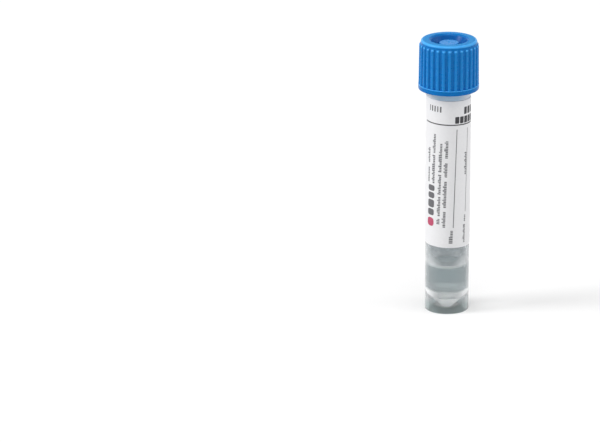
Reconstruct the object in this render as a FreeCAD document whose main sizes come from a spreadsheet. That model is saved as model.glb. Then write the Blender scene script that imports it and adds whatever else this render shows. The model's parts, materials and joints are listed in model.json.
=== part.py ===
"""Specimen swab tube: a skirted tube with a conical bottom, its screw cap, its label
and the transport medium inside.

Millimetres, +Z up, origin at the centre of the skirt's lower rim. The label's face
looks towards -Y. The cap is shown screwed home, with the tube's rim against its top.
"""
import FreeCAD, Part
import math
import os

import Sketcher

DRIVING_SIZES = [
    # tube
    ("tube_radius", 6.25, "outside radius of barrel and skirt"),
    ("shoulder_height", 65.7, "barrel ends and the neck begins"),
    ("neck_radius", 5.85, "outside radius of the neck"),
    ("mouth_height", 78.2, "top of the tube's rim"),
    ("bore_radius", 5.15, "inside radius of the bore"),
    ("cone_height", 5.9, "height of the bore's lower end"),
    ("cone_slope", 45, "cone wall against the tube's axis, degrees"),
    ("cone_tip_round", 1.2, "inside radius of the cone's tip"),
    ("cone_wall", 1.1, "wall of the cone"),
    ("skirt_wall", 1.1, "wall of the skirt at the floor"),
    ("shoulder_bevel", 0.35, "bevel of the shoulder"),
    ("rim_bevel", 0.25, "bevel of the tube's rim, inside and outside"),
    ("foot_bevel", 0.2, "bevel of the skirt's lower edge"),
    # thread on the neck, with its twin in the cap
    ("thread_start", 70.2, "middle of the first turn"),
    ("thread_pitch", 3.0, "rise of one turn"),
    ("thread_turns", 1.75, "turns on the neck"),
    ("thread_root_width", 1.5, "thread at the neck"),
    ("thread_crest_width", 0.7, "thread at its crest"),
    ("thread_crest_radius", 6.5, "outside radius of the neck's thread"),
    ("thread_bury", 0.2, "depth of the thread's root inside its wall"),
    ("thread_pass", 0.12, "radial room between the two threads' crests"),
    # screw cap
    ("cap_height", 14.4, "cap from its lower rim to its top"),
    ("top_plate", 1.8, "thickness of the cap's top ring"),
    ("cap_radius", 8.0, "wall between the ribs"),
    ("top_bevel", 0.4, "bevel of the top edge"),
    ("flange_radius", 8.6, "plain flange round the cap's lower rim"),
    ("flange_height", 1.45, "height of that flange"),
    ("flange_bevel", 0.25, "bevel of the flange's lower edge"),
    ("cap_bore_radius", 7.1, "inside radius of the cap's skirt"),
    ("rib_count", 30, "grip ribs"),
    ("rib_axis_radius", 8.02, "circle of the ribs' own axes, at the flange"),
    ("rib_radius", 0.52, "half of a rib's width"),
    ("rib_lean", 0.6, "lean of a rib towards the cap's axis, degrees"),
    ("rib_drop", 1.1, "top of a rib below the cap's top"),
    ("rib_slope", 45, "slope of a rib's top, falling outwards, degrees"),
    ("rib_root", 0.3, "foot of a rib buried in the flange"),
    ("plug_gap", 0.07, "radial room between plug and rim"),
    ("plug_wall", 0.8, "wall of the plug"),
    ("plug_reach", 3.7, "plug below the rim"),
    ("plug_bevel", 0.3, "lead-in at the plug's lower edge"),
    ("recess_radius", 5.6, "mouth of the top recess"),
    ("recess_lip", 0.43, "bevel round that mouth"),
    ("recess_taper", 1.6, "depth in which the recess narrows to the plug's bore"),
    ("recess_depth", 3.6, "floor of the recess below the cap's top"),
    ("floor_wall", 1.0, "wall under the recess"),
    ("boss_radius", 2.8, "outside radius of the boss over the socket"),
    ("boss_drop", 0.95, "boss's top below the cap's top"),
    ("boss_bevel", 0.25, "bevel round the boss's top"),
    ("gate_radius", 0.35, "moulding gate left on the boss"),
    ("gate_height", 0.15, "height of that gate mark"),
    ("socket_radius", 2.7, "outside radius of the socket under the cap"),
    ("socket_reach", 8.1, "socket's lower end below the rim"),
    ("socket_bore_radius", 1.35, "grip on the swab's shaft"),
    ("socket_mouth_radius", 2.1, "funnel at the socket's lower end"),
    ("socket_funnel", 2.6, "height of that funnel"),
    # label
    ("label_foot", 20.0, "lower edge, at the front"),
    ("label_height", 43.5, "height of the label"),
    ("label_thickness", 0.13, "paper, film and glue"),
    ("label_wrap", 345, "part of the turn that it covers, degrees"),
    ("label_skew", 1.2, "fall of the skewed label over one whole turn"),
    # transport medium
    ("medium_height", 12.9, "surface away from the wall"),
    ("meniscus_rise", 1.1, "surface at the wall above that"),
    ("meniscus_width", 1.8, "sloped edge of the surface"),
]

SHEET_NAME = "dims"


class Measure:
    """A size worked out from the sheet: its number, and the text that binds it."""

    def __init__(self, value, text):
        self.value = value
        self.text = text

    def join(self, sign, other, value):
        text = other.text if isinstance(other, Measure) else repr(other)
        return Measure(value, "(%s %s %s)" % (self.text, sign, text))

    def __add__(self, other):
        return self.join("+", other, self.value + number(other))

    def __sub__(self, other):
        return self.join("-", other, self.value - number(other))

    def __mul__(self, other):
        return self.join("*", other, self.value * number(other))

    def __truediv__(self, other):
        return self.join("/", other, self.value / number(other))


def number(item):
    return item.value if isinstance(item, Measure) else item


def sine(angle):
    return Measure(math.sin(math.radians(angle.value)), "sin(%s)" % angle.text)


def cosine(angle):
    return Measure(math.cos(math.radians(angle.value)), "cos(%s)" % angle.text)


class Sizes:
    """The driving sizes as attributes, each a Measure bound to its cell."""

    def __init__(self, doc):
        sheet = doc.addObject("Spreadsheet::Sheet", SHEET_NAME)
        for row, (alias, value, note) in enumerate(DRIVING_SIZES, start=1):
            sheet.set("A%d" % row, note)
            sheet.set("B%d" % row, str(value))
            sheet.setAlias("B%d" % row, alias)
        doc.recompute()
        for alias, _value, _note in DRIVING_SIZES:
            cell = float(sheet.get(alias))
            setattr(self, alias, Measure(cell, "%s.%s" % (SHEET_NAME, alias)))


# ---------------------------------------------------------------- sketching

def origin_item(body, role):
    return next(item for item in body.Origin.OriginFeatures if item.Role == role)


def new_sketch(body, name, role="XZ_Plane"):
    sketch = body.newObject("Sketcher::SketchObject", name)
    sketch.AttachmentSupport = [(origin_item(body, role), "")]
    sketch.MapMode = "FlatFace"
    return sketch


def bind(sketch, kind, *target):
    """Add one driving distance, its last item a Measure, and bind it to the sheet."""
    size = target[-1]
    index = sketch.addConstraint(Sketcher.Constraint(kind, *target[:-1], size.value))
    sketch.setExpression("Constraints[%d]" % index, size.text)


def place_point(sketch, edge, end, across, up):
    """Hold one end of an edge at its distances from the sketch's origin."""
    for kind, size, axis in (("DistanceX", across, -2), ("DistanceY", up, -1)):
        if number(size) == 0:
            sketch.addConstraint(Sketcher.Constraint("PointOnObject", edge, end, axis))
        else:
            bind(sketch, kind, -1, 1, edge, end, size)


def arc_between(start, finish, radius, bulge):
    """Arc from start to finish; bulge is +1 where it passes to the left of the chord."""
    chord = finish - start
    left = FreeCAD.Vector(-chord.y, chord.x, 0).normalize()
    height = radius - math.sqrt(max(radius ** 2 - (chord.Length / 2) ** 2, 0))
    crown = (start + finish) * 0.5 + left * bulge * height
    return Part.Arc(start, crown, finish)


def outline(sketch, corners):
    """Draw a closed outline.

    Each corner is (across, up), reached by a straight line, or (across, up, radius,
    bulge), reached by an arc. The first corner is reached from the last.
    """
    points = [FreeCAD.Vector(number(c[0]), number(c[1]), 0) for c in corners]
    edges = []
    for index, corner in enumerate(corners):
        before = points[index - 1]
        here = points[index]
        if len(corner) == 2:
            edges.append(sketch.addGeometry(Part.LineSegment(before, here), False))
        else:
            arc = arc_between(before, here, corner[2].value, corner[3])
            edges.append(sketch.addGeometry(arc, False))
    turned = [len(c) == 4 and c[3] > 0 for c in corners]
    for index, corner in enumerate(corners):
        after = (index + 1) % len(corners)
        end = 1 if turned[index] else 2
        start = 2 if turned[after] else 1
        link = Sketcher.Constraint("Coincident", edges[index], end, edges[after], start)
        sketch.addConstraint(link)
        place_point(sketch, edges[index], end, corner[0], corner[1])
        if len(corner) == 4:
            bind(sketch, "Radius", edges[index], corner[2])
    return edges


def revolve(body, name, sketch):
    feature = body.newObject("PartDesign::Revolution", name)
    feature.Profile = sketch
    feature.ReferenceAxis = (sketch, ["V_Axis"])
    feature.Angle = 360
    return feature


def ring_names(shape, radius, height):
    """Names of the circular edges round Z at a radius and a height."""
    found = []
    for index, edge in enumerate(shape.Edges, start=1):
        if edge.Degenerated or not isinstance(edge.Curve, Part.Circle):
            continue
        near_radius = abs(edge.Curve.Radius - number(radius)) < 1e-4
        near_height = abs(edge.Curve.Center.z - number(height)) < 1e-4
        if near_radius and near_height:
            found.append("Edge%d" % index)
    return found


def bevel_rings(body, name, base, size, rings):
    """Bevel the edges of base that lie on the given (radius, height) rings."""
    body.Document.recompute()
    names = []
    for radius, height in rings:
        names += ring_names(base.Shape, radius, height)
    if len(names) != len(rings):
        raise RuntimeError("%s: found %d of %d edges" % (name, len(names), len(rings)))
    feature = body.newObject("PartDesign::Chamfer", name)
    feature.Base = (base, names)
    feature.setExpression("Size", size.text)
    return feature


def helix(body, name, sketch, pitch, turns):
    feature = body.newObject("PartDesign::AdditiveHelix", name)
    feature.Profile = sketch
    feature.ReferenceAxis = (sketch, ["V_Axis"])
    feature.Mode = "pitch-turns-angle"
    feature.setExpression("Pitch", pitch.text)
    feature.setExpression("Turns", turns.text)
    return feature


def thread(body, m, name, root_radius, crest_radius, start):
    """One thread: a trapezium, its wide side at root_radius, swept up a helix."""
    sketch = new_sketch(body, name + "_section")
    root = m.thread_root_width / 2
    crest = m.thread_crest_width / 2
    outline(sketch, [
        (root_radius, start - root),
        (crest_radius, start - crest),
        (crest_radius, start + crest),
        (root_radius, start + root),
    ])
    return helix(body, name, sketch, m.thread_pitch, m.thread_turns)


# --------------------------------------------------------------------- tube

def cone_centre(m):
    """Height of the centre that the cone's rounded tip has, inside and outside."""
    apex = m.cone_height - m.bore_radius * cosine(m.cone_slope) / sine(m.cone_slope)
    return apex + m.cone_tip_round / sine(m.cone_slope)


def cone_tangent(m, tip_radius):
    """Where a rounded tip of that radius runs into the cone's straight wall."""
    across = tip_radius * cosine(m.cone_slope)
    up = cone_centre(m) - tip_radius * sine(m.cone_slope)
    return across, up


def tube(doc, m):
    """One moulding: barrel, cone inside the skirt, shoulder, and threaded neck."""
    body = doc.addObject("PartDesign::Body", "tube")
    centre = cone_centre(m)
    outer_tip = m.cone_tip_round + m.cone_wall
    skirt_bore = m.tube_radius - m.skirt_wall
    outer_across, outer_up = cone_tangent(m, outer_tip)
    inner_across, inner_up = cone_tangent(m, m.cone_tip_round)
    rise_per_radius = cosine(m.cone_slope) / sine(m.cone_slope)
    skirt_roof = outer_up + (skirt_bore - outer_across) * rise_per_radius

    section = new_sketch(body, "wall_section")
    outline(section, [
        (0, centre - outer_tip),
        (outer_across, outer_up, outer_tip, -1),
        (skirt_bore, skirt_roof),
        (skirt_bore, 0),
        (m.tube_radius, 0),
        (m.tube_radius, m.shoulder_height),
        (m.neck_radius, m.shoulder_height),
        (m.neck_radius, m.mouth_height),
        (m.bore_radius, m.mouth_height),
        (m.bore_radius, m.cone_height),
        (inner_across, inner_up),
        (0, centre - m.cone_tip_round, m.cone_tip_round, 1),
    ])
    wall = revolve(body, "wall", section)
    shoulder = bevel_rings(body, "shoulder_bevel", wall, m.shoulder_bevel,
                           [(m.tube_radius, m.shoulder_height)])
    rim = bevel_rings(body, "rim_bevels", shoulder, m.rim_bevel,
                      [(m.neck_radius, m.mouth_height), (m.bore_radius, m.mouth_height)])
    bevel_rings(body, "foot_bevel", rim, m.foot_bevel, [(m.tube_radius, 0)])
    thread(body, m, "neck_thread", m.neck_radius - m.thread_bury,
           m.thread_crest_radius, m.thread_start)
    return body


# ---------------------------------------------------------------- screw cap

def screw_cap(doc, m):
    """One moulding: ribbed skirt, top ring, hollow plug, and central swab socket."""
    body = doc.addObject("PartDesign::Body", "screw_cap")
    top = m.mouth_height + m.top_plate
    foot = top - m.cap_height
    flange_top = foot + m.flange_height
    shell = cap_shell(body, m, top, foot, flange_top)
    boss_top = top - m.boss_drop
    plug_radius = m.bore_radius - m.plug_gap
    lip = bevel_rings(body, "top_bevel", shell, m.top_bevel, [(m.cap_radius, top)])
    flange = bevel_rings(body, "flange_bevel", lip, m.flange_bevel,
                         [(m.flange_radius, foot)])
    boss = bevel_rings(body, "boss_bevel", flange, m.boss_bevel,
                       [(m.boss_radius, boss_top)])
    bevel_rings(body, "plug_bevel", boss, m.plug_bevel,
                [(plug_radius, m.mouth_height - m.plug_reach)])
    gate_mark(body, m, boss_top)
    grip_ribs(body, m, top, flange_top)
    thread(body, m, "cap_thread", m.cap_bore_radius + m.thread_bury,
           m.thread_crest_radius + m.thread_pass, m.thread_start - m.thread_pitch / 2)
    return body


def cap_shell(body, m, top, foot, flange_top):
    """The cap without its ribs and thread, turned in one piece."""
    plug_radius = m.bore_radius - m.plug_gap
    plug_bore = plug_radius - m.plug_wall
    plug_foot = m.mouth_height - m.plug_reach
    floor_top = top - m.recess_depth
    floor_under = floor_top - m.floor_wall
    boss_top = top - m.boss_drop
    socket_foot = m.mouth_height - m.socket_reach
    section = new_sketch(body, "cap_section")
    outline(section, [
        (0, boss_top),
        (m.boss_radius, boss_top),
        (m.boss_radius, floor_top),
        (plug_bore, floor_top),
        (plug_bore, top - m.recess_lip - m.recess_taper),
        (m.recess_radius - m.recess_lip, top - m.recess_lip),
        (m.recess_radius, top),
        (m.cap_radius, top),
        (m.cap_radius, flange_top),
        (m.flange_radius, flange_top),
        (m.flange_radius, foot),
        (m.cap_bore_radius, foot),
        (m.cap_bore_radius, m.mouth_height),
        (plug_radius, m.mouth_height),
        (plug_radius, plug_foot),
        (plug_bore, plug_foot),
        (plug_bore, floor_under),
        (m.socket_radius, floor_under),
        (m.socket_radius, socket_foot),
        (m.socket_mouth_radius, socket_foot),
        (m.socket_bore_radius, socket_foot + m.socket_funnel),
        (m.socket_bore_radius, boss_top - m.floor_wall),
        (0, boss_top - m.floor_wall),
    ])
    return revolve(body, "cap_shell", section)


def gate_mark(body, m, boss_top):
    """The small round gate mark in the middle of the boss."""
    sketch = new_sketch(body, "gate_section")
    outline(sketch, [
        (0, boss_top - m.gate_height),
        (m.gate_radius, boss_top - m.gate_height),
        (m.gate_radius, boss_top),
        (0, boss_top + m.gate_height),
    ])
    return revolve(body, "gate_mark", sketch)


def grip_ribs(body, m, top, flange_top):
    """Round bars all round the cap that lean in a little, cut off at a slope on top."""
    plan = new_sketch(body, "rib_plan", "XY_Plane")
    tilt(plan, m.rib_axis_radius, flange_top - m.rib_root, -1, m.rib_lean)
    circle = Part.Circle(FreeCAD.Vector(0, 0, 0), FreeCAD.Vector(0, 0, 1),
                         m.rib_radius.value)
    edge = plan.addGeometry(circle, False)
    plan.addConstraint(Sketcher.Constraint("Coincident", edge, 3, -1, 1))
    bind(plan, "Radius", edge, m.rib_radius)

    slope = body.newObject("PartDesign::Plane", "rib_slope")
    slope.AttachmentSupport = [(origin_item(body, "XY_Plane"), "")]
    slope.MapMode = "FlatFace"
    tilt(slope, m.cap_radius, top - m.rib_drop, 1, m.rib_slope)

    rib = body.newObject("PartDesign::Pad", "grip_rib")
    rib.Profile = plan
    rib.Type = "UpToFace"
    rib.UpToFace = (slope, [""])

    pattern = body.newObject("PartDesign::PolarPattern", "grip_ribs")
    pattern.Originals = [rib]
    pattern.Axis = (origin_item(body, "Z_Axis"), [""])
    pattern.Angle = 360
    pattern.setExpression("Occurrences", m.rib_count.text)
    body.Tip = pattern
    return pattern


def tilt(item, across, up, sense, angle):
    """Move an attached sketch or plane to the front and up, and turn it about X."""
    item.AttachmentOffset = FreeCAD.Placement(
        FreeCAD.Vector(0, 0, 0), FreeCAD.Rotation(FreeCAD.Vector(sense, 0, 0), 1))
    item.setExpression("AttachmentOffset.Base.y", "-" + across.text)
    item.setExpression("AttachmentOffset.Base.z", up.text)
    item.setExpression("AttachmentOffset.Rotation.Angle", angle.text)


# -------------------------------------------------------- label and medium

def label(doc, m):
    """A thin label wrapped round the barrel, a little skewed, with a slit behind."""
    body = doc.addObject("PartDesign::Body", "label")
    outer = m.tube_radius + m.label_thickness
    turns = m.label_wrap / 360
    foot = m.label_foot - m.label_skew * turns / 2
    section = new_sketch(body, "label_section")
    outline(section, [
        (m.tube_radius, foot),
        (outer, foot),
        (outer, foot + m.label_height),
        (m.tube_radius, foot + m.label_height),
    ])
    wrap = helix(body, "label_wrap", section, m.label_skew, turns)
    wrap.LeftHanded = True
    body.Placement = FreeCAD.Placement(
        FreeCAD.Vector(0, 0, 0), FreeCAD.Rotation(FreeCAD.Vector(0, 0, 1), 90))
    body.setExpression("Placement.Rotation.Angle", (m.label_wrap / 2 - 90).text)
    return body


def transport_medium(doc, m):
    """The liquid in the cone and the lower bore, its surface drawn up at the wall."""
    body = doc.addObject("PartDesign::Body", "transport_medium")
    inner_across, inner_up = cone_tangent(m, m.cone_tip_round)
    section = new_sketch(body, "medium_section")
    outline(section, [
        (0, cone_centre(m) - m.cone_tip_round),
        (inner_across, inner_up, m.cone_tip_round, -1),
        (m.bore_radius, m.cone_height),
        (m.bore_radius, m.medium_height + m.meniscus_rise),
        (m.bore_radius - m.meniscus_width, m.medium_height),
        (0, m.medium_height),
    ])
    revolve(body, "medium", section)
    return body


# ------------------------------------------------------------------- output

def check(doc, bodies):
    """Stop if any object failed, or if a sub-part isn't one valid solid."""
    for item in doc.Objects:
        if "Invalid" in item.State or "Error" in item.State:
            raise RuntimeError("%s failed: %s" % (item.Name, item.State))
    for body in bodies:
        shape = body.Shape
        if shape.isNull() or not shape.isValid() or len(shape.Solids) != 1:
            raise RuntimeError("%s has no valid solid" % body.Label)
        print("%-18s faces %4d volume %9.2f mm3" % (
            body.Label, len(shape.Faces), shape.Volume))


def main():
    doc = FreeCAD.newDocument("specimen_swab_tube")
    sizes = Sizes(doc)
    bodies = [build(doc, sizes) for build in (tube, screw_cap, label, transport_medium)]
    doc.recompute()
    check(doc, bodies)
    os.makedirs("parts", exist_ok=True)
    for body in bodies:
        body.Shape.exportStep("parts/%s.step" % body.Label)


main()
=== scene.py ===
"""Looks of a specimen swab tube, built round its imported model.

Lengths are in millimetres and become metres where a mesh, a material or the camera takes
them. +Z is up, and the label's front faces -Y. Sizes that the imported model's boxes and
mounts hold are read from them. The tube, cap, label and medium are turned or wrapped again
here with rounded edges, in the forms that their solids have.
"""
import json
import math
import random

import bmesh
import bpy
from mathutils import Matrix, Vector


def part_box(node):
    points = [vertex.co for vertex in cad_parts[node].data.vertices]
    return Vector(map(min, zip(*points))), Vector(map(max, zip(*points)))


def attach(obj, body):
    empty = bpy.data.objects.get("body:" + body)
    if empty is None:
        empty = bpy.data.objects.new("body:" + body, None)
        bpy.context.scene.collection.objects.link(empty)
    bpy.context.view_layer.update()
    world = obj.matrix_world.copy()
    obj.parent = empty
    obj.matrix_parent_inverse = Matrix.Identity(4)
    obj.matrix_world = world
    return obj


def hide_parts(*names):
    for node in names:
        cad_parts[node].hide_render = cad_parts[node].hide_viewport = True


MM = 0.001
# The label's front, as an angle round Z
FRONT = -math.pi / 2
# How far the flange and the label are kept inside their solids' boxes
HAIR = 0.004


def box_mm(node):
    """A node's lowest and highest corners, in millimetres."""
    low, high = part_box(node)
    return low / MM, high / MM


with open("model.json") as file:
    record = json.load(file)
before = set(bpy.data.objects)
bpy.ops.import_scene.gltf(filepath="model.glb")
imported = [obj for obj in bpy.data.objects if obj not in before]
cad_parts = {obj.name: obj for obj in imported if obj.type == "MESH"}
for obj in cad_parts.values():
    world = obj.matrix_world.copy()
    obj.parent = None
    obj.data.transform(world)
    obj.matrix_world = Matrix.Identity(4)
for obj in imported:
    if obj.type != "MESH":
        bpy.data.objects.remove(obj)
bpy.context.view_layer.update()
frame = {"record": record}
CAP_LOW, CAP_HIGH = box_mm("screw_cap")
LABEL_LOW, LABEL_HIGH = box_mm("label")
MEDIUM_LOW, MEDIUM_HIGH = box_mm("transport_medium")
MOUNTS = {mount["name"]: mount for mount in frame["record"]["mounts"]}
BARREL = MOUNTS["rack_seat"]

# Tube
TUBE_RADIUS = BARREL["dims"]["r_mm"]
SHOULDER_BEVEL = 0.35
SHOULDER = BARREL["pos_m"][2] / MM + BARREL["dims"]["length_mm"] + SHOULDER_BEVEL
MOUTH = box_mm("tube")[1].z
NECK_RADIUS = 5.85
BORE_RADIUS = 5.15
SKIRT_BORE = 5.15
TIP_RADIUS = 1.2
CONE_WALL = 1.1
TIP_CENTRE = MEDIUM_LOW.z + TIP_RADIUS
CONE_TOP = TIP_CENTRE - TIP_RADIUS * math.sqrt(2) + BORE_RADIUS
CAVITY_TOP = TIP_CENTRE - (TIP_RADIUS + CONE_WALL) * math.sqrt(2) + SKIRT_BORE

# Threads, right-handed, first on the neck and then in the cap
THREAD_PITCH = 3.0
THREAD_TURNS = 1.75
THREAD_RUN_OUT = 0.06
THREAD_ROOT_WIDTH = 1.5
THREAD_CREST_WIDTH = 0.7
THREAD_MESH_STEP = 0.13
NECK_THREAD = {"start": 70.2, "root": 5.65, "crest": 6.5, "wall": NECK_RADIUS}
CAP_THREAD = {"start": 68.7, "root": 7.3, "crest": 6.62, "wall": 7.1}

# Screw cap
CAP_TOP = CAP_HIGH.z
CAP_FOOT = CAP_LOW.z
CAP_RADIUS = 8.0
FLANGE_RADIUS = min(CAP_HIGH.x, -CAP_LOW.x) - HAIR
FLANGE_TOP = CAP_FOOT + 1.45
RIB_COUNT = 30
RIB_AXIS_RADIUS = 8.02
RIB_RADIUS = 0.52
RIB_LEAN = math.radians(0.6)
RIB_TOP = CAP_TOP - 1.1
PLUG_RADIUS = 5.08
PLUG_BORE = 4.28
PLUG_FOOT = 74.5
RECESS_RADIUS = 5.6
RECESS_LIP = 0.43
RECESS_TAPER = 1.6
RECESS_FLOOR = CAP_TOP - 3.6
FLOOR_WALL = 1.0
BOSS_RADIUS = 2.8
BOSS_TOP = CAP_TOP - 0.95
GATE_HEIGHT = 0.15
SOCKET_RADIUS = 2.7
SOCKET_FOOT = 70.1
SOCKET_BORE = 1.35
SOCKET_MOUTH = 2.1
SOCKET_FUNNEL = 2.6

# Label
LABEL_WRAP = math.radians(345)
LABEL_HEIGHT = 43.5
LABEL_RADIUS = LABEL_HIGH.x - HAIR
LABEL_FALL = (LABEL_HIGH.z - LABEL_LOW.z - LABEL_HEIGHT) / LABEL_WRAP
LABEL_FOOT = LABEL_LOW.z + LABEL_FALL * LABEL_WRAP / 2
LABEL_LEAN = LABEL_FALL / LABEL_RADIUS
INK_PROUD = 0.008
INK_BURIED = 0.02

# Medium
MEDIUM_RIM = MEDIUM_HIGH.z
MEDIUM_LEVEL = MEDIUM_RIM - 1.1
MENISCUS_WIDTH = 2.2
MENISCUS_CURVE = 2.4
WALL_OVERLAP = 0.02


# ------------------------------------------------------------------ meshes

def add_piece(name, points, faces, material, body, crease=40):
    """A piece from points in millimetres, smooth apart from edges sharper than crease."""
    mesh = bpy.data.meshes.new(name)
    mesh.from_pydata([Vector(point) * MM for point in points], [], faces)
    work = bmesh.new()
    work.from_mesh(mesh)
    bmesh.ops.recalc_face_normals(work, faces=work.faces)
    work.to_mesh(mesh)
    work.free()
    mesh.shade_smooth()
    mesh.set_sharp_from_angle(angle=math.radians(crease))
    mesh.materials.append(material)
    piece = bpy.data.objects.new(name, mesh)
    bpy.context.scene.collection.objects.link(piece)
    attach(piece, body)
    return piece


def rounded(corners, steps=4):
    """Rows of a turned outline.

    A corner is (radius, height), left sharp, or (radius, height, cut), rounded from cut
    before it to cut after it, with one more row on each side to hold the flat there.
    """
    rows = [corners[0][:2]]
    for before, corner, after in zip(corners, corners[1:], corners[2:]):
        if len(corner) == 2:
            rows.append(corner)
            continue
        here = Vector(corner[:2])
        back = Vector(before[:2]) - here
        ahead = Vector(after[:2]) - here
        cut = corner[2]
        hold = cut * 1.3
        start = here + back.normalized() * cut
        finish = here + ahead.normalized() * cut
        if back.length > 2 * hold:
            rows.append(tuple(here + back.normalized() * hold))
        for step in range(steps + 1):
            share = step / steps
            point = start.lerp(here, share).lerp(here.lerp(finish, share), share)
            rows.append(tuple(point))
        if ahead.length > 2 * hold:
            rows.append(tuple(here + ahead.normalized() * hold))
    rows.append(corners[-1][:2])
    return rows


def turned(rows, angles):
    """Points and faces of a closed body turned round Z.

    The first and last rows lie on the axis. A row between them is (radius, height) or
    (radius, height, swell), where swell(angle, height) is added to the radius.
    """
    count = len(angles)
    points = [(0, 0, rows[0][1])]
    for row in rows[1:-1]:
        for angle in angles:
            reach = row[0] + (row[2](angle, row[1]) if len(row) == 3 else 0)
            points.append((reach * math.cos(angle), reach * math.sin(angle), row[1]))
    points.append((0, 0, rows[-1][1]))
    last = len(points) - 1
    faces = []
    for column in range(count):
        after = (column + 1) % count
        faces.append((0, 1 + column, 1 + after))
        for ring in range(len(rows) - 3):
            low = 1 + ring * count
            high = low + count
            faces.append((low + column, high + column, high + after, low + after))
        faces.append((last, last - count + after, last - count + column))
    return points, faces


def even_angles(count):
    """Angles of a whole turn, evenly spaced."""
    return [math.tau * step / count for step in range(count)]


def spaced(start, finish, step):
    """Values from start to finish, evenly spaced by about step."""
    count = max(1, round(abs(finish - start) / step))
    return [start + (finish - start) * index / count for index in range(count + 1)]


def thread_swell(thread):
    """How far a helical thread stands out of its wall, or into it if it faces inwards."""
    flank = (THREAD_ROOT_WIDTH - THREAD_CREST_WIDTH) / 2

    def swell(angle, height):
        rise = 0
        for turn in range(2):
            along = angle / math.tau + turn
            away = abs(height - thread["start"] - THREAD_PITCH * along)
            left = THREAD_TURNS - along
            fade = min(1, along / THREAD_RUN_OUT, left / THREAD_RUN_OUT)
            share = min(1, (THREAD_ROOT_WIDTH / 2 - away) / flank)
            rise = max(rise, share * max(0, fade))
        reach = thread["root"] + (thread["crest"] - thread["root"]) * rise
        if thread["crest"] > thread["wall"]:
            return max(reach - thread["wall"], 0)
        return min(reach - thread["wall"], 0)

    return swell


def thread_rows(thread, low, high):
    """Rows of a threaded wall from low to high."""
    swell = thread_swell(thread)
    return [(thread["wall"], height, swell) for height in spaced(low, high, THREAD_MESH_STEP)]


# -------------------------------------------------------------------- tube

def cone_rows(tip_radius):
    """The cone's rounded tip, from the axis to where its straight wall begins."""
    rows = []
    for angle in spaced(0, math.pi / 4, math.pi / 32):
        across = tip_radius * math.sin(angle)
        rows.append((across, TIP_CENTRE - tip_radius * math.cos(angle)))
    return rows


def cone_height(tip_radius, radius):
    """Height at which the cone's straight wall reaches a radius."""
    return TIP_CENTRE - tip_radius * math.sqrt(2) + radius


def make_tube(material):
    """One moulding: barrel on its open skirt, cone inside it, and threaded neck."""
    outer_tip = TIP_RADIUS + CONE_WALL
    skirt = rounded([
        cone_rows(outer_tip)[-1],
        (SKIRT_BORE, CAVITY_TOP, 0.3),
        (SKIRT_BORE, 0, 0.12),
        (TUBE_RADIUS, 0, 0.2),
        (TUBE_RADIUS, SHOULDER, SHOULDER_BEVEL),
        (NECK_RADIUS, SHOULDER, 0.02),
        (NECK_RADIUS, NECK_THREAD["start"] - 1),
    ])
    mouth = rounded([
        (NECK_RADIUS, NECK_THREAD["start"] + THREAD_PITCH * THREAD_TURNS + 1),
        (NECK_RADIUS, MOUTH, 0.22),
        (BORE_RADIUS, MOUTH, 0.22),
        (BORE_RADIUS, CONE_TOP, 0.7),
        cone_rows(TIP_RADIUS)[-1],
    ])
    thread = thread_rows(NECK_THREAD, skirt[-1][1], mouth[0][1])
    bottom = cone_rows(outer_tip)
    rows = bottom[:-1] + skirt[:-1] + thread + mouth[1:-1] + cone_rows(TIP_RADIUS)[::-1]
    points, faces = turned(rows, even_angles(192))
    piece = add_piece("frosted_tube", points, faces, material, "tube")
    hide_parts("tube")
    return piece


def make_medium(material):
    """The clear liquid, drawn up at the wall and a hair into the wall's own plastic."""
    tip = TIP_RADIUS + WALL_OVERLAP
    radius = BORE_RADIUS + WALL_OVERLAP
    rows = cone_rows(tip) + [(radius, cone_height(tip, radius)), (radius, MEDIUM_RIM)]
    for share in spaced(0.1, 1, 0.1):
        sink = (MEDIUM_RIM - MEDIUM_LEVEL) * (1 - (1 - share) ** MENISCUS_CURVE)
        rows.append((radius - MENISCUS_WIDTH * share, MEDIUM_RIM - sink))
    rows += [(2, MEDIUM_LEVEL), (0, MEDIUM_LEVEL)]
    points, faces = turned(rows, even_angles(128))
    piece = add_piece("clear_medium", points, faces, material, "tube")
    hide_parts("transport_medium")
    return piece


# --------------------------------------------------------------------- cap

def rib_angles():
    """Angles of the cap's mesh columns, closest together on the ribs' flanks."""
    half_pitch = math.pi / RIB_COUNT
    foot = RIB_RADIUS / RIB_AXIS_RADIUS
    side = [foot * math.sin(math.radians(step)) for step in (22, 42, 60, 76, 90)]
    side += [foot + (half_pitch - foot) * share for share in (0.22, 0.55)]
    one_rib = [-angle for angle in reversed(side)] + [0] + side + [half_pitch]
    angles = []
    for rib in range(RIB_COUNT):
        middle = FRONT + math.tau * rib / RIB_COUNT
        angles += [(middle + angle) % math.tau for angle in one_rib]
    return sorted(angles)


def soft_most(first, second, blend):
    """The greater of two numbers, with a smooth change from one to the other."""
    return (first + second + math.hypot(first - second, blend)) / 2


def rib_swell(angle, height):
    """How far the ribs stand out of the cap, with soft roots and 45 degree tops."""
    pitch = math.tau / RIB_COUNT
    turn = (angle - FRONT + pitch / 2) % pitch - pitch / 2
    across = abs(turn) * RIB_AXIS_RADIUS
    axis = RIB_AXIS_RADIUS - (height - FLANGE_TOP) * math.tan(RIB_LEAN) - CAP_RADIUS
    if across < RIB_RADIUS:
        reach = axis + math.sqrt(RIB_RADIUS ** 2 - across ** 2)
    else:
        reach = axis - 4 * (across - RIB_RADIUS)
    stand = soft_most(reach, 0, 0.08)
    return max(0, -soft_most(-stand, height - RIB_TOP, 0.06))


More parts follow.
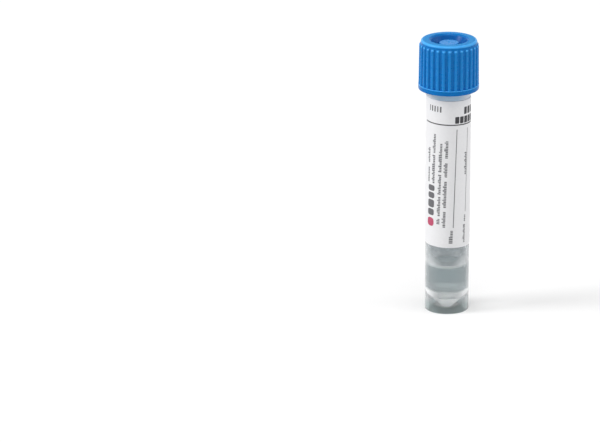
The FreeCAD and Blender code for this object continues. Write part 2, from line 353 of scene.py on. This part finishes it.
def grip_rows():
    """The cap's outer wall from above its ribs down to the flange."""
    steps = (-0.12, -0.04, 0, 0.05, 0.1, 0.17, 0.25, 0.33, 0.41, 0.49, 0.56, 0.64, 0.8)
    heights = [RIB_TOP - step for step in steps]
    heights += [FLANGE_TOP + 0.4, FLANGE_TOP + 0.12, FLANGE_TOP]
    return [(CAP_RADIUS, height, rib_swell) for height in heights]


def make_cap(material):
    """One moulding: ribbed skirt, deck with its recess, hollow plug and swab socket."""
    floor_under = RECESS_FLOOR - FLOOR_WALL
    crown = rounded([
        (0, BOSS_TOP + GATE_HEIGHT),
        (0.16, BOSS_TOP + GATE_HEIGHT * 0.75, 0.08),
        (0.35, BOSS_TOP, 0.06),
        (BOSS_RADIUS, BOSS_TOP, 0.28),
        (BOSS_RADIUS, RECESS_FLOOR, 0.2),
        (PLUG_BORE, RECESS_FLOOR, 0.25),
        (PLUG_BORE, CAP_TOP - RECESS_LIP - RECESS_TAPER, 0.3),
        (RECESS_RADIUS - RECESS_LIP, CAP_TOP - RECESS_LIP, 0.12),
        (RECESS_RADIUS, CAP_TOP, 0.14),
        (CAP_RADIUS, CAP_TOP, 0.85),
        (CAP_RADIUS, RIB_TOP + 0.12),
    ], 5)
    foot = rounded([
        (CAP_RADIUS, FLANGE_TOP),
        (FLANGE_RADIUS, FLANGE_TOP, 0.05),
        (FLANGE_RADIUS, CAP_FOOT, 0.3),
        (CAP_THREAD["wall"], CAP_FOOT, 0.15),
        (CAP_THREAD["wall"], CAP_THREAD["start"] - 1),
    ])
    inside = rounded([
        (CAP_THREAD["wall"], CAP_THREAD["start"] + THREAD_PITCH * THREAD_TURNS + 1),
        (CAP_THREAD["wall"], MOUTH, 0.15),
        (PLUG_RADIUS, MOUTH, 0.08),
        (PLUG_RADIUS, PLUG_FOOT, 0.3),
        (PLUG_BORE, PLUG_FOOT, 0.12),
        (PLUG_BORE, floor_under, 0.2),
        (SOCKET_RADIUS, floor_under, 0.2),
        (SOCKET_RADIUS, SOCKET_FOOT, 0.15),
        (SOCKET_MOUTH, SOCKET_FOOT, 0.1),
        (SOCKET_BORE, SOCKET_FOOT + SOCKET_FUNNEL, 0.2),
        (SOCKET_BORE, BOSS_TOP - FLOOR_WALL, 0.15),
        (0, BOSS_TOP - FLOOR_WALL),
    ])
    thread = thread_rows(CAP_THREAD, foot[-1][1], inside[0][1])
    rows = crown[:-1] + grip_rows() + foot[1:-1] + thread + inside[1:]
    points, faces = turned(rows, rib_angles())
    piece = add_piece("ribbed_cap", points, faces, material, "cap")
    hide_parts("screw_cap")
    return piece


# ------------------------------------------------------------------- label

def on_barrel(turn, height, radius):
    """A place at a turn from the front, towards +X, at a height and a radius."""
    angle = FRONT + turn
    return radius * math.cos(angle), radius * math.sin(angle), height


def make_label(material):
    """The white wrap, a little skewed, with its slit behind."""
    edge = 0.04
    inner = TUBE_RADIUS - 0.01
    outline = [
        (inner, 0), (LABEL_RADIUS - edge, 0), (LABEL_RADIUS, edge),
        (LABEL_RADIUS, edge * 3), (LABEL_RADIUS, LABEL_HEIGHT - edge * 3),
        (LABEL_RADIUS, LABEL_HEIGHT - edge), (LABEL_RADIUS - edge, LABEL_HEIGHT),
        (inner, LABEL_HEIGHT),
    ]
    turns = spaced(-LABEL_WRAP / 2, LABEL_WRAP / 2, math.radians(1.5))
    points = []
    for turn in turns:
        foot = LABEL_FOOT - LABEL_FALL * turn
        points += [on_barrel(turn, foot + up, radius) for radius, up in outline]
    size = len(outline)
    faces = [tuple(range(size)), tuple(range(len(points) - size, len(points)))]
    for column in range(len(turns) - 1):
        for corner in range(size):
            here = column * size + corner
            after = column * size + (corner + 1) % size
            faces.append((here, after, after + size, here + size))
    piece = add_piece("wrap_label", points, faces, material, "tube", 30)
    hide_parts("label")
    return piece


class Ink:
    """Flat printed shapes of one colour, gathered into one piece.

    A place is across the label from its front line and up from its foot, both square to
    the label's own edges.
    """

    def __init__(self):
        self.points = []
        self.faces = []

    def block(self, across, up, width, height, round_by=0.1):
        """A filled oblong with rounded corners, its middle at across and up."""
        round_by = min(round_by, width / 2, height / 2)
        inset = width / 2 - round_by
        sides = [-width / 2, -width / 2 + round_by * 0.3]
        sides += spaced(-inset, inset, 0.35) if inset > 0.01 else [0]
        sides += [width / 2 - round_by * 0.3, width / 2]
        shares = spaced(-1, 1, 3 / height)
        layers = []
        for radius in (LABEL_RADIUS - INK_BURIED, LABEL_RADIUS + INK_PROUD):
            layer = []
            for side in sides:
                past = max(0, abs(side) - inset)
                half = height / 2 - round_by + math.sqrt(max(0, round_by ** 2 - past ** 2))
                layer.append([self.point(across + side, up + half * share, radius)
                              for share in shares])
            layers.append(layer)
        self.close(*layers)

    def close(self, under, over):
        """Faces of a thin slab between two equal grids of points."""
        columns = len(under) - 1
        rows = len(under[0]) - 1
        for layer in (under, over):
            for one in range(columns):
                for row in range(rows):
                    self.faces.append((layer[one][row], layer[one + 1][row],
                                       layer[one + 1][row + 1], layer[one][row + 1]))
        for one in range(columns):
            for row in (0, rows):
                self.faces.append((under[one][row], under[one + 1][row],
                                   over[one + 1][row], over[one][row]))
        for row in range(rows):
            for one in (0, columns):
                self.faces.append((under[one][row], under[one][row + 1],
                                   over[one][row + 1], over[one][row]))

    def point(self, across, up, radius):
        """Add a point on the skewed label and give its number."""
        turn = (across + (up - LABEL_HEIGHT / 2) * LABEL_LEAN) / LABEL_RADIUS
        height = LABEL_FOOT + up - across * LABEL_LEAN
        self.points.append(on_barrel(turn, height, radius))
        return len(self.points) - 1

    def words(self, across, low, lengths, width, seed, gap):
        """A line of words up the label, each a run of small plain blocks."""
        chance = random.Random(seed)
        start = low
        for length in lengths:
            start = self.run(across, start, length, width, chance) + gap

    def run(self, across, low, length, width, chance):
        """One word, its blocks drawn at random in length and in width; it gives its end."""
        up = low
        while up < low + length - 0.2:
            step = chance.uniform(0.38, 0.6)
            tall = width * chance.choice((0.62, 0.66, 0.95))
            self.block(across + (width * 0.62 - tall) / 2, up + step / 2, tall,
                       step - 0.14, 0.06)
            up += step
        return low + length

    def piece(self, name, material):
        """Make one piece of all the shapes so far."""
        return add_piece(name, self.points, self.faces, material, "tube")


# Lines of words: across, low, word lengths, width, seed, gap
FINE_LINES = (
    (-6.4, 18.8, (4.2, 4.4), 1.0, 1, 1.6),
    (-4.5, 18.7, (8.2, 5.6), 1.05, 2, 0.85),
    (-2.4, 6.8, (1.6, 5.6, 5.8, 8.4), 1.0, 3, 0.85),
    (-0.75, 6.0, (4.7, 7.9, 4.4, 5.4), 1.15, 4, 1.2),
    (1.55, 1.3, (3.9,), 1.15, 5, 0.85),
    (5.4, 21.5, (6.6,), 0.85, 6, 0.85),
    (5.7, 1.3, (5.4, 2.2), 0.85, 7, 0.85),
)
# Write-on rules: across, low, high, width
FINE_RULES = ((1.95, 6.0, 35.2, 0.22), (5.9, 10.4, 35.2, 0.18))
# The small field at the top left: bar widths, left to right
SMALL_BARS = (0.3, 0.45, 0.45, 0.35, 0.45)
# The title's four blocks beside the red mark: low, length
TITLE_BLOCKS = ((9.0, 2.1), (11.35, 2.5), (14.1, 1.95), (16.3, 1.9))
TITLE_ACROSS = -5.25
# Stamped rows: across of the first, up, count, pitch, width, height
STAMPED_ROWS = ((4.7, 40.5, 3, 1.45, 1.1, 2.1), (1.9, 37.9, 5, 1.5, 1.25, 2.0))
HEADER_RULE_UP = 36.5
HEADER_RULE_REACH = 8.6


def make_print(dark, grey, red):
    """Plain shapes that stand for the label's print: rules, lines of words and blocks."""
    fine = Ink()
    for line in FINE_LINES:
        fine.words(*line)
    for column, width in enumerate(SMALL_BARS):
        fine.block(-6.6 + column * 0.9, 40.9, width, 1.7)
    for low, length in TITLE_BLOCKS:
        fine.block(TITLE_ACROSS, low + length / 2, 2.4, length - 0.2, 0.5)
    for across, low, high, width in FINE_RULES:
        fine.block(across, (low + high) / 2, width, high - low, width / 2)
    fine.piece("label_fine_print", grey)

    bold = Ink()
    bold.block(0, HEADER_RULE_UP, 2 * HEADER_RULE_REACH, 0.32, 0.1)
    for across, up, count, pitch, width, height in STAMPED_ROWS:
        for column in range(count):
            bold.block(across + column * pitch, up, width, height, 0.2)
    bold.piece("label_bold_print", dark)

    mark = Ink()
    mark.block(TITLE_ACROSS, 7.1, 2.5, 2.5, 0.8)
    mark.piece("label_red_mark", red)


# --------------------------------------------------------------- materials

BORE_TINT = (0.5, 0.54, 0.555)


def new_material(name, colour, roughness):
    """A material, its node tree and its Principled shader."""
    material = bpy.data.materials.new(name)
    material.use_nodes = True
    shader = material.node_tree.nodes["Principled BSDF"]
    shader.inputs["Base Color"].default_value = (*colour, 1)
    shader.inputs["Roughness"].default_value = roughness
    return material, material.node_tree, shader


def noise(tree, scale, detail=3):
    """Noise over the object's own coordinates, its features about 1 / scale metres."""
    place = tree.nodes.new("ShaderNodeTexCoord")
    pattern = tree.nodes.new("ShaderNodeTexNoise")
    pattern.inputs["Scale"].default_value = scale
    pattern.inputs["Detail"].default_value = detail
    tree.links.new(place.outputs["Object"], pattern.inputs["Vector"])
    return pattern.outputs["Fac"]


def spread(tree, value, low, high, start=0.3, finish=0.7):
    """Map a value from start to finish onto low to high."""
    node = tree.nodes.new("ShaderNodeMapRange")
    for name, number in (("From Min", start), ("From Max", finish),
                         ("To Min", low), ("To Max", high)):
        node.inputs[name].default_value = number
    tree.links.new(value, node.inputs["Value"])
    return node.outputs["Result"]


def combine(tree, operation, first, second):
    """A sum, product or other operation on two values, each a number or a socket."""
    node = tree.nodes.new("ShaderNodeMath")
    node.operation = operation
    for socket, value in zip(node.inputs, (first, second)):
        if isinstance(value, (int, float)):
            socket.default_value = value
        else:
            tree.links.new(value, socket)
    return node.outputs[0]


def blend_colours(tree, share, first, second):
    """Mix two colours, each a tuple or a socket, by a share from nought to one."""
    node = tree.nodes.new("ShaderNodeMix")
    node.data_type = "RGBA"
    sockets = [socket for socket in node.inputs if socket.type == "RGBA"]
    tree.links.new(share, node.inputs[0])
    for socket, colour in zip(sockets, (first, second)):
        if isinstance(colour, tuple):
            socket.default_value = (*colour, 1)
        else:
            tree.links.new(colour, socket)
    return next(socket for socket in node.outputs if socket.type == "RGBA")


def mix_shaders(tree, share, first, second):
    """Mix two shaders' nodes by a share from nought to one."""
    mix = tree.nodes.new("ShaderNodeMixShader")
    tree.links.new(share, mix.inputs[0])
    tree.links.new(first.outputs[0], mix.inputs[1])
    tree.links.new(second.outputs[0], mix.inputs[2])
    return mix


def relief(tree, shader, scale, depth, strength=0.5):
    """Fine moulded or pressed grain, its depth in millimetres."""
    bump = tree.nodes.new("ShaderNodeBump")
    bump.inputs["Strength"].default_value = strength
    bump.inputs["Distance"].default_value = depth * MM
    tree.links.new(noise(tree, scale, 2), bump.inputs["Height"])
    tree.links.new(bump.outputs["Normal"], shader.inputs["Normal"])


def shade(colour, factor):
    """A colour made darker or lighter by a factor."""
    return tuple(part * factor for part in colour)


def band(tree, value, low, high, soft):
    """One from low to high, falling to nought within soft beyond them, in millimetres."""
    rise = spread(tree, value, 0, 1, (low - soft) * MM, low * MM)
    fall = spread(tree, value, 1, 0, high * MM, (high + soft) * MM)
    return combine(tree, "MULTIPLY", rise, fall)


def any_ray(tree, *names):
    """One where a ray is of any of the named kinds, and nought elsewhere."""
    path = tree.nodes.new("ShaderNodeLightPath")
    total = path.outputs[names[0]]
    for name in names[1:]:
        step = tree.nodes.new("ShaderNodeMath")
        step.operation = "ADD"
        step.use_clamp = True
        tree.links.new(total, step.inputs[0])
        tree.links.new(path.outputs[name], step.inputs[1])
        total = step.outputs[0]
    return total


def let_light_in(tree, shader, share):
    """Let lamps and stray light through by a share, as thin clear plastic does."""
    through = tree.nodes.new("ShaderNodeBsdfTransparent")
    rays = any_ray(tree, "Is Shadow Ray", "Is Diffuse Ray")
    mix = mix_shaders(tree, combine(tree, "MULTIPLY", rays, share), shader, through)
    tree.links.new(mix.outputs[0], tree.nodes["Material Output"].inputs["Surface"])


def round_the_axis(tree):
    """Height above the floor and distance from the tube's axis, in metres."""
    place = tree.nodes.new("ShaderNodeTexCoord")
    axes = tree.nodes.new("ShaderNodeSeparateXYZ")
    tree.links.new(place.outputs["Object"], axes.inputs[0])
    squares = [combine(tree, "POWER", axes.outputs[axis], 2) for axis in (0, 1)]
    radius = combine(tree, "SQRT", combine(tree, "ADD", *squares), 0)
    return axes.outputs["Z"], radius


def edge_on(tree):
    """Nought where a wall is square to the view and one where it is edge on."""
    weight = tree.nodes.new("ShaderNodeLayerWeight")
    weight.inputs["Blend"].default_value = 0.5
    return weight.outputs["Facing"]


def rib_highlight_share(tree, height, radius):
    """How far a place between band and flange has the ribs' lighter colour, a painted
    highlight, full on the crests and weaker in the grooves.
    """
    groove = spread(tree, radius, 0, 0.35, (CAP_RADIUS - 0.4) * MM, (CAP_RADIUS - 0.3) * MM)
    crest = spread(tree, radius, 0, 1, (CAP_RADIUS + 0.1) * MM, (CAP_RADIUS + 0.45) * MM)
    return combine(tree, "MULTIPLY", combine(tree, "MAXIMUM", groove, crest),
                   band(tree, height, FLANGE_TOP + 0.3, RIB_TOP - 0.2, 0.3))


def rim_highlight_share(tree, height, radius):
    """How far a place is on a rim with a painted highlight: the top's lip, the rib ends or
    the ledge.
    """
    corner = CAP_TOP + CAP_RADIUS
    lip = band(tree, combine(tree, "ADD", height, radius), corner - 0.45, corner, 0.3)
    outside = spread(tree, radius, 0, 1, (CAP_RADIUS + 0.03) * MM, (CAP_RADIUS + 0.1) * MM)
    ledge = band(tree, height, FLANGE_TOP - 0.1, FLANGE_TOP + 0.03, 0.06)
    rib_end = band(tree, height, RIB_TOP - 0.55, RIB_TOP, 0.2)
    narrow = spread(tree, radius, 0, 1, (CAP_RADIUS + 0.15) * MM, (CAP_RADIUS + 0.3) * MM)
    rims = combine(tree, "MAXIMUM", combine(tree, "MULTIPLY", outside, ledge),
                   combine(tree, "MULTIPLY", narrow, rib_end))
    return combine(tree, "MAXIMUM", lip, rims)


def blue_plastic():
    """Satin moulded polypropylene, with painted highlights on its ribs, boss, lip, rib ends
    and ledge, a painted lighter top for the light from above, and painted shade in its
    recess.
    """
    deep = (0.0, 0.162, 0.51)
    # painted shade colour for the recess wall
    recess_shade = (0.0, 0.115, 0.42)
    # painted light: the top deck's lighter blue, as lit from above
    top_light_blue = (0.01, 0.23, 0.58)
    # painted highlight colour on the rib crests and the boss top
    thin = (0.015, 0.24, 0.64)
    # painted highlight colour on the lip, the rib ends and the ledge
    edge = (0.07, 0.42, 0.9)
    material, tree, shader = new_material("blue_cap_plastic", deep, 0.3)
    height, radius = round_the_axis(tree)
    mottle = spread(tree, noise(tree, 420), 0, 1)
    colour = blend_colours(tree, mottle, shade(deep, 0.94), shade(deep, 1.06))
    # Painted shade: the recess wall below the deck is darker.
    wall = combine(tree, "MULTIPLY", band(tree, radius, 3.3, RECESS_RADIUS - 0.5, 0.3),
                   spread(tree, height, 1, 0, (CAP_TOP - 0.5) * MM, (CAP_TOP - 0.3) * MM))
    colour = blend_colours(tree, wall, colour, recess_shade)
    crown = spread(tree, height, 0, 1, (CAP_TOP - 0.15) * MM, (CAP_TOP - 0.02) * MM)
    annulus = spread(tree, radius, 0, 1, RECESS_RADIUS * MM, (RECESS_RADIUS + 0.3) * MM)
    # Painted light: the deck round the recess is lighter, as lit from above.
    colour = blend_colours(tree, combine(tree, "MULTIPLY", crown, annulus), colour, top_light_blue)
    boss = combine(tree, "MULTIPLY", band(tree, radius, -1, BOSS_RADIUS - 0.2, 0.2),
                   band(tree, height, BOSS_TOP - 0.2, CAP_TOP, 0.1))
    # Painted highlight: the rib crests, less the grooves, and the boss top turn lighter.
    lighter = combine(tree, "MAXIMUM", rib_highlight_share(tree, height, radius), boss)
    colour = blend_colours(tree, lighter, colour, thin)
    # Painted highlight on the lip, the rib ends and the ledge.
    colour = blend_colours(tree, rim_highlight_share(tree, height, radius), colour, edge)
    tree.links.new(colour, shader.inputs["Base Color"])
    satin = combine(tree, "MULTIPLY", crown, 0.5)
    rough = combine(tree, "MAXIMUM", spread(tree, noise(tree, 900), 0.24, 0.32), satin)
    tree.links.new(rough, shader.inputs["Roughness"])
    shader.inputs["IOR"].default_value = 1.49
    shader.inputs["Specular IOR Level"].default_value = 0.12
    shader.inputs["Subsurface Weight"].default_value = 0.12
    shader.inputs["Subsurface Radius"].default_value = (0.15, 0.5, 1.0)
    shader.inputs["Subsurface Scale"].default_value = 0.6 * MM
    relief(tree, shader, 5000, 0.01)
    return material


def milky_lit_cone(tree, height, radius):
    """How milky the cone's thick wall is, on both of its sides, partly its own milkiness and
    partly painted light for its brightness.
    """
    inside = spread(tree, radius, 0, 1, (BORE_RADIUS - 0.01) * MM, (BORE_RADIUS - 0.1) * MM)
    rise = combine(tree, "SUBTRACT", height, radius)
    between = cone_height(TIP_RADIUS + CONE_WALL / 2, 0)
    under = spread(tree, rise, 0, 0.92, (between + 0.3) * MM, (between - 0.3) * MM)
    return combine(tree, "MULTIPLY", under, inside)


def milky_lit_ring(tree, height, edge):
    """How milky the thick ring is where the cone, bore and skirt meet, partly its own
    milkiness and partly a painted highlight, stronger where seen edge on.
    """
    root = combine(tree, "SUBTRACT", height, combine(tree, "MULTIPLY", edge, 2.2 * MM))
    foot = spread(tree, root, 0, 1, (CAVITY_TOP - 0.85) * MM, (CAVITY_TOP - 0.05) * MM)
    top = spread(tree, height, 1, 0, (CONE_TOP + 0.2) * MM, (CONE_TOP + 1.5) * MM)
    ring = combine(tree, "MULTIPLY", foot, top)
    return combine(tree, "MULTIPLY", ring, spread(tree, edge, 0.2, 1, 0.12, 0.5))


def bore_highlight(tree, height, radius, edge):
    """How pale the bore is painted, as a highlight at the liquid's contact line and in
    crescents above it where the wall is seen edge on.
    """
    bore = spread(tree, radius, 1, 0, (BORE_RADIUS + 0.05) * MM, (BORE_RADIUS + 0.2) * MM)
    line = combine(tree, "MULTIPLY", bore,
                   band(tree, height, MEDIUM_RIM - 0.2, MEDIUM_RIM + 0.2, 0.2))
    # Painted highlight: pale crescents above the liquid, fading upwards.
    above = combine(tree, "SUBTRACT", height, MEDIUM_RIM * MM)
    side = combine(tree, "SUBTRACT", edge, combine(tree, "MULTIPLY", above, 0.02 / MM))
    film = combine(tree, "MULTIPLY", spread(tree, side, 0.35, 1, 0.02, 0.16),
                   spread(tree, above, 1, 0, 0.3 * MM, 4.8 * MM))
    film = combine(tree, "MULTIPLY", combine(tree, "MULTIPLY", bore, film),
                   spread(tree, above, 0, 1, -0.4 * MM, 0))
    return combine(tree, "MAXIMUM", combine(tree, "MULTIPLY", line, 0.7), film)


def clear_colour(tree, height, edge):
    """The clear wall's colour: grey round the bore, lighter in the standing skirt, greyer at
    the foot as painted shade.
    """
    skirt_tint = (0.95, 0.97, 0.97)
    side_tint = (0.54, 0.565, 0.58)
    foot_shade_tint = (0.47, 0.55, 0.55)
    skirt = blend_colours(tree, spread(tree, edge, 0, 1, 0.06, 0.3), skirt_tint, side_tint)
    low = spread(tree, height, 0, 1, (CONE_TOP + 0.9) * MM, (CONE_TOP + 0.3) * MM)
    tint = blend_colours(tree, low, BORE_TINT, skirt)
    # Painted shade: the wall turns greyer towards the floor, reaching higher where it is seen
    # edge on.
    lift = combine(tree, "MULTIPLY", combine(tree, "MINIMUM", edge, 0.25), 3.5 * MM)
    foot = spread(tree, combine(tree, "SUBTRACT", height, lift), 1, 0, 1.5 * MM, 2.2 * MM)
    return blend_colours(tree, foot, tint, foot_shade_tint)


def frosted_plastic():
    """Natural polypropylene: grey and clear where thin, milky where thick or edge on, with
    painted light: the cap's blue reflected in the neck, a lit ring and cone, pale highlights
    at the liquid and shade at the foot.
    """
    milk_tint = (0.95, 0.955, 0.965)
    # painted reflection: the cap's blue in the neck below it, paler where the wall is seen
    # edge on
    neck_reflected_blue = (0.56, 0.76, 0.93)
    neck_side_reflected_blue = (0.86, 0.9, 0.96)
    material, tree, shader = new_material("frosted_tube_plastic", BORE_TINT, 0.2)
    height, radius = round_the_axis(tree)
    edge = edge_on(tree)
    cone = milky_lit_cone(tree, height, radius)
    neck = band(tree, height, SHOULDER - 2, SHOULDER + 0.2, 1)
    milk = spread(tree, edge, 0, 0.5, 0.09, 0.9)
    for share in (cone, milky_lit_ring(tree, height, edge),
                  bore_highlight(tree, height, radius, edge), neck):
        milk = combine(tree, "MAXIMUM", milk, share)
    clear = combine(tree, "SUBTRACT", 1, milk)
    tree.links.new(clear, shader.inputs["Transmission Weight"])
    tint = blend_colours(tree, spread(tree, milk, 0, 1, 0.15, 0.8),
                         clear_colour(tree, height, edge), milk_tint)
    # Painted reflection: the neck band takes the cap's blue.
    neck_reflected_colour = blend_colours(tree, spread(tree, edge, 0, 1, 0.12, 0.4),
                                neck_reflected_blue, neck_side_reflected_blue)
    tint = blend_colours(tree, neck, tint, neck_reflected_colour)
    tree.links.new(tint, shader.inputs["Base Color"])
    tree.links.new(spread(tree, noise(tree, 700), 0.1, 0.17), shader.inputs["Roughness"])
    shader.inputs["IOR"].default_value = 1.49
    glow = tree.nodes.new("ShaderNodeBsdfTranslucent")
    glow.inputs["Color"].default_value = (*milk_tint, 1)
    through = combine(tree, "MAXIMUM", combine(tree, "MULTIPLY", cone, 0.65),
                      combine(tree, "MULTIPLY", milk, 0.25))
    body = mix_shaders(tree, through, shader, glow)
    share = spread(tree, height, 0.5, 1, (CAVITY_TOP - 0.95) * MM, (CAVITY_TOP - 0.05) * MM)
    let_light_in(tree, body, combine(tree, "MULTIPLY", clear, share))
    return material


def clear_liquid():
    """Buffered salt water with the faintest green, its raised rim and contact line painted
    pale as a highlight.
    """
    material, tree, shader = new_material("clear_medium", (0.92, 0.97, 0.96), 0.02)
    height, radius = round_the_axis(tree)
    # Painted highlight: the raised rim where seen edge on and the contact line at the wall
    # turn pale.
    raised_part = band(tree, height, MEDIUM_LEVEL + 0.2, MEDIUM_RIM, 0.2)
    slope = combine(tree, "MULTIPLY", raised_part,
                    spread(tree, edge_on(tree), 0.1, 0.95, 0.3, 0.7))
    wall = spread(tree, radius, 0, 0.6, (BORE_RADIUS - 0.1) * MM, BORE_RADIUS * MM)
    line = combine(tree, "MULTIPLY", wall,
                   band(tree, height, MEDIUM_RIM - 0.45, MEDIUM_RIM, 0.1))
    raised = combine(tree, "MAXIMUM", slope, line)
    clear = combine(tree, "SUBTRACT", 1, raised)
    tree.links.new(clear, shader.inputs["Transmission Weight"])
    shader.inputs["IOR"].default_value = 1.34
    tree.links.new(spread(tree, noise(tree, 300), 0.0, 0.05), shader.inputs["Roughness"])
    let_light_in(tree, shader, clear)
    return material


def white_film():
    """Semi-gloss white label film with a faint fibre."""
    white = (0.87, 0.87, 0.885)
    material, tree, shader = new_material("white_label_film", white, 0.4)
    fibre = spread(tree, noise(tree, 1500, 4), 0, 1)
    colour = blend_colours(tree, fibre, shade(white, 0.97), white)
    tree.links.new(colour, shader.inputs["Base Color"])
    tree.links.new(spread(tree, noise(tree, 800), 0.34, 0.46), shader.inputs["Roughness"])
    relief(tree, shader, 3500, 0.006)
    return material


def ink(name, colour, roughness):
    """Printing ink, its density slightly uneven."""
    material, tree, shader = new_material(name, colour, roughness)
    density = spread(tree, noise(tree, 6000, 2), 0, 1)
    dots = blend_colours(tree, density, shade(colour, 0.8), shade(colour, 1.25))
    tree.links.new(dots, shader.inputs["Base Color"])
    return material


# ------------------------------------------------------------------- scene

def seen_straight(tree):
    """One for a ray that was only mirrored or let through on its way, nought elsewhere."""
    straight = any_ray(tree, "Is Camera Ray", "Is Glossy Ray", "Is Transmission Ray")
    path = tree.nodes.new("ShaderNodeLightPath")
    unspread = combine(tree, "LESS_THAN", path.outputs["Diffuse Depth"], 0.5)
    return combine(tree, "MULTIPLY", straight, unspread)


def make_world(ambient):
    """White where it is seen, mirrored or seen through, and a plain fill elsewhere."""
    world = bpy.data.worlds.new("studio")
    bpy.context.scene.world = world
    world.use_nodes = True
    tree = world.node_tree
    sky = tree.nodes["Background"]
    sky.inputs["Color"].default_value = (1, 1, 1, 1)
    strength = spread(tree, seen_straight(tree), ambient, 1, 0, 1)
    tree.links.new(strength, sky.inputs["Strength"])


def make_floor():
    """A wide white floor that keeps the object's shadow and is dim where closed in."""
    reach = 12000 * MM
    mesh = bpy.data.meshes.new("floor")
    corners = [(x * reach, y * reach, 0) for x, y in ((-1, -1), (1, -1), (1, 1), (-1, 1))]
    mesh.from_pydata(corners, [], [(0, 1, 2, 3)])
    floor = bpy.data.objects.new("floor", mesh)
    bpy.context.scene.collection.objects.link(floor)
    white = (0.78, 0.78, 0.78)
    dim = (0.55, 0.55, 0.55)
    material, tree, shader = new_material("white_floor", white, 0.9)
    shader.inputs["Specular IOR Level"].default_value = 0
    shader.inputs["Emission Color"].default_value = (1, 1, 1, 1)
    sky = tree.nodes.new("ShaderNodeAmbientOcclusion")
    sky.inputs["Distance"].default_value = 8 * MM
    free = spread(tree, sky.outputs["AO"], 0, 1, 0.1, 0.5)
    tree.links.new(blend_colours(tree, free, dim, white), shader.inputs["Base Color"])
    glow = combine(tree, "MULTIPLY", free, seen_straight(tree))
    glow = combine(tree, "MULTIPLY", glow, 0.2)
    tree.links.new(glow, shader.inputs["Emission Strength"])
    mesh.materials.append(material)


def make_lamp(name, turn, elevation, width, white):
    """A far soft lamp, turned from the camera's side towards +X, in degrees.

    white is how bright a white card facing it gets.
    """
    data = bpy.data.lights.new(name, "SUN")
    data.angle = math.radians(width)
    data.energy = math.pi * white
    lamp = bpy.data.objects.new(name, data)
    bpy.context.scene.collection.objects.link(lamp)
    lamp.rotation_euler = (math.radians(90 - elevation), 0, math.radians(turn))


def make_camera():
    """A long lens from 1.3 m, looking down 18.5 degrees, the object right of the middle."""
    data = bpy.data.cameras.new("camera")
    camera = bpy.data.objects.new("camera", data)
    bpy.context.scene.collection.objects.link(camera)
    bpy.context.scene.camera = camera
    data.sensor_width = 36
    data.lens = 274.6
    data.clip_start = 50 * MM
    data.clip_end = 60000 * MM
    elevation = math.radians(18.5)
    roll = math.radians(-0.08)
    distance = 1300
    right_of_middle = 42
    above_middle = 13.23
    right = Vector((1, 0, 0))
    up = Vector((0, math.sin(elevation), math.cos(elevation)))
    back = right.cross(up)
    aim = Vector((0, 0, CAP_TOP / 2)) - right * right_of_middle - up * above_middle
    turn = Matrix((right, up, back)).transposed() @ Matrix.Rotation(roll, 3, "Z")
    place = (aim + back * distance) * MM
    camera.matrix_world = Matrix.Translation(place) @ turn.to_4x4()


make_tube(frosted_plastic())
make_medium(clear_liquid())
make_label(white_film())
make_print(ink("black_ink", (0.03, 0.03, 0.035), 0.5),
           ink("grey_ink", (0.13, 0.13, 0.14), 0.5),
           ink("red_ink", (0.5, 0.065, 0.14), 0.5))
make_cap(blue_plastic())
make_world(0.385)
make_floor()
make_lamp("key", -80, 35, 24, 0.5)
make_lamp("top", 0, 74, 46, 0.34)
make_lamp("fill", 82, 25, 40, 0.2)
make_camera()
bpy.context.scene.view_settings.view_transform = "Standard"
